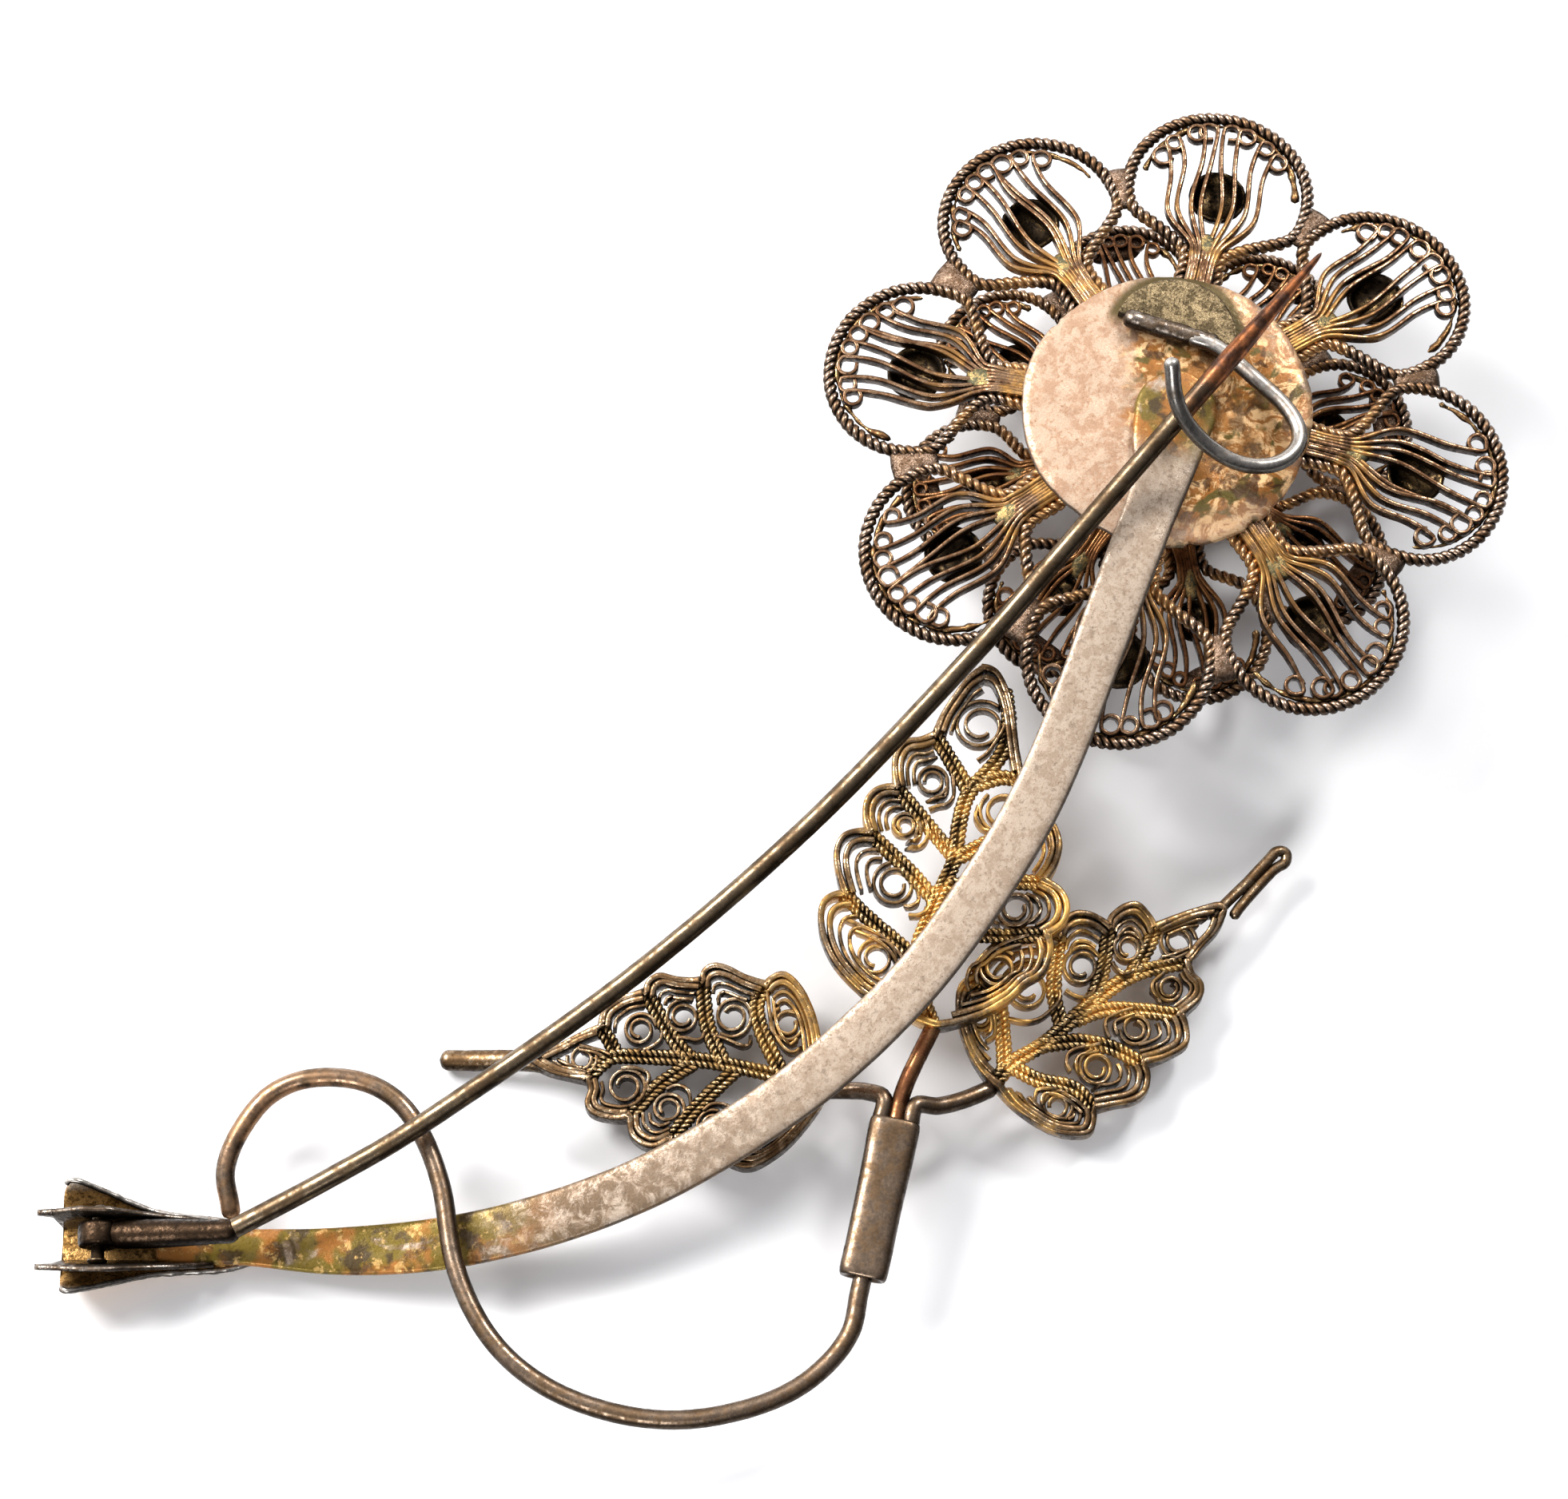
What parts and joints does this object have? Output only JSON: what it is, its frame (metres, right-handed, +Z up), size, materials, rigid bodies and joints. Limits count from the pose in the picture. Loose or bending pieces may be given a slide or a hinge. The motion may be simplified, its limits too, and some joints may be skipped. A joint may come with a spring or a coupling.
{
  "type": "hat pin",
  "caption": "Filigree flower brooch pin: two tiers of looped wire petals on a disc, strip stem with three scrollwork leaves and a wire tendril, hinged pin and open hook catch.",
  "frame": {"origin": "centre of the bounding box, on the surface that the brooch lies on, front of the flower down", "axes": "+Z up, out of the brooch's back; +X along the brooch's length, from the hinge end to the flower; +Y across it"},
  "size_m": [0.0902, 0.045, 0.0181],
  "materials": {
    "rope_silver": "twisted silver wire, tarnished grey-brown",
    "fan_silver": "flat silver wire, dark tarnish with olive solder",
    "dark_silver": "blackened silver",
    "disc_silver": "thin silver sheet, matt, mottled pink and brown",
    "solder_silver": "rough grey-green solder over sheet",
    "stem_silver": "flat silver strip, mottled grey-pink tarnish",
    "pin_steel": "drawn wire, brassy brown patina",
    "bright_wire": "round silver wire, worn bright",
    "leaf_silver": "filigree wire with gold-brown tarnish",
    "stalk_silver": "round silver wire, grey tarnish"
  },
  "bodies": {
    "brooch": {"back_disc": "disc_silver", "calyx": "stem_silver", "catch_hook": "bright_wire", "catch_tab": "solder_silver", "centre_bead": "dark_silver", "centre_cup": "disc_silver", "ferrule": "stalk_silver", "flower_post": "disc_silver", "front_plate": "disc_silver", "hinge_rivet": "pin_steel", "inner_beads": "dark_silver", "inner_fan_1": "fan_silver", "inner_fan_2": "fan_silver", "inner_fan_3": "fan_silver", "inner_fan_4": "fan_silver", "inner_fan_5": "fan_silver", "inner_fan_6": "fan_silver", "inner_fan_7": "fan_silver", "inner_fan_8": "fan_silver", "inner_rim_1": "rope_silver", "inner_rim_2": "rope_silver", "inner_rim_3": "rope_silver", "inner_rim_4": "rope_silver", "inner_rim_5": "rope_silver", "inner_rim_6": "rope_silver", "inner_rim_7": "rope_silver", "inner_rim_8": "rope_silver", "leaf_stalks": "stalk_silver", "left_ear": "stem_silver", "left_leaf_frame": "leaf_silver", "left_leaf_scrolls": "leaf_silver", "middle_leaf_frame": "leaf_silver", "middle_leaf_scrolls": "leaf_silver", "outer_beads": "dark_silver", "outer_fan_1": "fan_silver", "outer_fan_2": "fan_silver", "outer_fan_3": "fan_silver", "outer_fan_4": "fan_silver", "outer_fan_5": "fan_silver", "outer_fan_6": "fan_silver", "outer_fan_7": "fan_silver", "outer_fan_8": "fan_silver", "outer_rim_1": "rope_silver", "outer_rim_2": "rope_silver", "outer_rim_3": "rope_silver", "outer_rim_4": "rope_silver", "outer_rim_5": "rope_silver", "outer_rim_6": "rope_silver", "outer_rim_7": "rope_silver", "outer_rim_8": "rope_silver", "right_ear": "stem_silver", "right_leaf_frame": "leaf_silver", "right_leaf_scrolls": "leaf_silver", "stem_strip": "stem_silver", "tendril": "stalk_silver"},
    "knuckle": {"pin_knuckle": "pin_steel"},
    "pin": {"pin_wire": "pin_steel"}
  },
  "joints": [
    {"name": "pin_lift", "type": "hinge", "parent": "brooch", "child": "knuckle", "pos_m": [-0.04247, 0.00695, 0.003], "axis": [-0.6428, -0.766, 0], "range_deg": [0, 45]},
    {"name": "pin_flex", "type": "hinge", "parent": "knuckle", "child": "pin", "pos_m": [-0.03727, 0.00265, 0.0039], "axis": [0, 0, 1], "range_deg": [0, 24.5]}
  ],
  "couplings": [
    {"joint": "pin_flex", "follows": "pin_lift", "ratio": 0.54}
  ]
}
